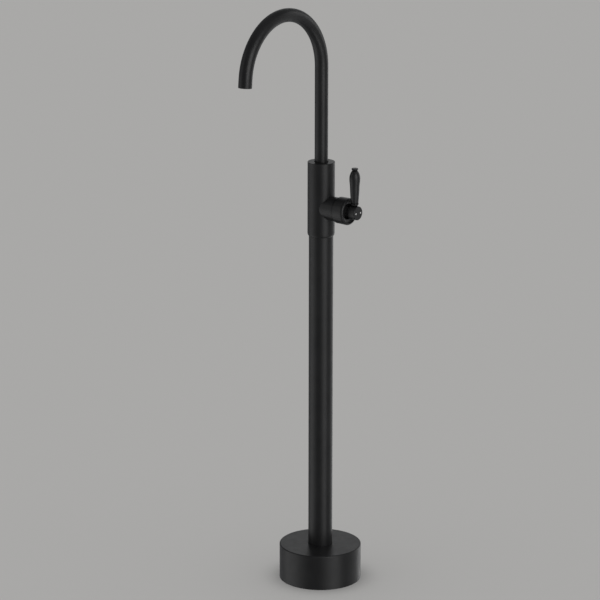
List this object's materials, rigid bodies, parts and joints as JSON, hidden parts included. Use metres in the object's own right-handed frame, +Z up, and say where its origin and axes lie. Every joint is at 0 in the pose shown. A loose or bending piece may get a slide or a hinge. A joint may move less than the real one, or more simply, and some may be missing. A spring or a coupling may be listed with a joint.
{
  "type": "floor standing bath filler",
  "caption": "Matt black floor standing bath filler: round base cover and column, side valve with an upright baluster lever, and a tall swivelling gooseneck spout.",
  "frame": {"origin": "on the column's axis at floor level, the centre of the floor flange's bolt circle", "axes": "+Z up along the column, the spout points to -Y, the side valve and its lever to +X"},
  "size_m": [0.1634, 0.3046, 1.0982],
  "materials": {
    "black_coat": "matt black coat on brass",
    "steel": "stainless steel",
    "brass": "machined brass",
    "pipe": "plain copper pipe",
    "rubber": "moulded black rubber",
    "polymer": "moulded acetal",
    "ceramic": "lapped alumina ceramic",
    "index_mark": "pale index mark"
  },
  "bodies": {
    "root": {"floor_flange": "steel", "flange_set_screws": "steel", "base_cover": "black_coat", "base_cover_seal": "rubber", "column_tube": "black_coat", "column_adapter": "brass", "lower_riser_spacer": "polymer", "upper_riser_spacer": "polymer", "hot_riser": "pipe", "cold_riser": "pipe", "hot_inlet_union": "brass", "cold_inlet_union": "brass", "riser_seals": "rubber", "valve_body": "black_coat", "cartridge_base": "polymer", "cartridge_base_seals": "rubber", "cartridge_housing": "polymer", "fixed_ceramic_disc": "ceramic", "cartridge_nut": "brass", "bell_cover": "black_coat", "spout_bush": "polymer", "spout_thrust_washer": "polymer", "spout_retaining_screw": "steel"},
    "spout": {"spout_tube": "black_coat", "spout_spigot": "brass", "spout_o_rings": "rubber", "aerator_sleeve": "brass", "aerator_housing": "polymer", "aerator_seal": "rubber", "aerator_grid": "polymer"},
    "temperature_carrier": {"cartridge_rotor": "polymer", "stem_pin": "steel"},
    "lever": {"cartridge_stem": "steel", "lever_hub": "black_coat", "hub_grub_screw": "steel", "hot_index_dot": "index_mark", "cold_index_dot": "index_mark", "lever_stud": "steel", "lever_ferrule": "black_coat", "lever_grip": "black_coat", "lever_finial": "black_coat"},
    "mixing_disc": {"disc_carrier": "polymer", "moving_ceramic_disc": "ceramic"}
  },
  "joints": [
    {"name": "spout_swivel", "type": "hinge", "parent": "root", "child": "spout", "pos_m": [0, 0, 0.7525], "axis": [0, 0, 1], "continuous": true},
    {"name": "temperature_turn", "type": "hinge", "parent": "root", "child": "temperature_carrier", "pos_m": [0.046, 0, 0.7185], "axis": [1, 0, 0], "range_deg": [-45, 45]},
    {"name": "flow_tilt", "type": "hinge", "parent": "temperature_carrier", "child": "lever", "pos_m": [0.046, 0, 0.7185], "axis": [0, 1, 0], "range_deg": [0, 18]},
    {"name": "disc_slide", "type": "slide", "parent": "temperature_carrier", "child": "mixing_disc", "axis": [0, 0, 1], "range_m": [0, 0.0052]}
  ],
  "couplings": [
    {"joint": "disc_slide", "follows": "flow_tilt", "m_per_rad": 0.0165}
  ]
}
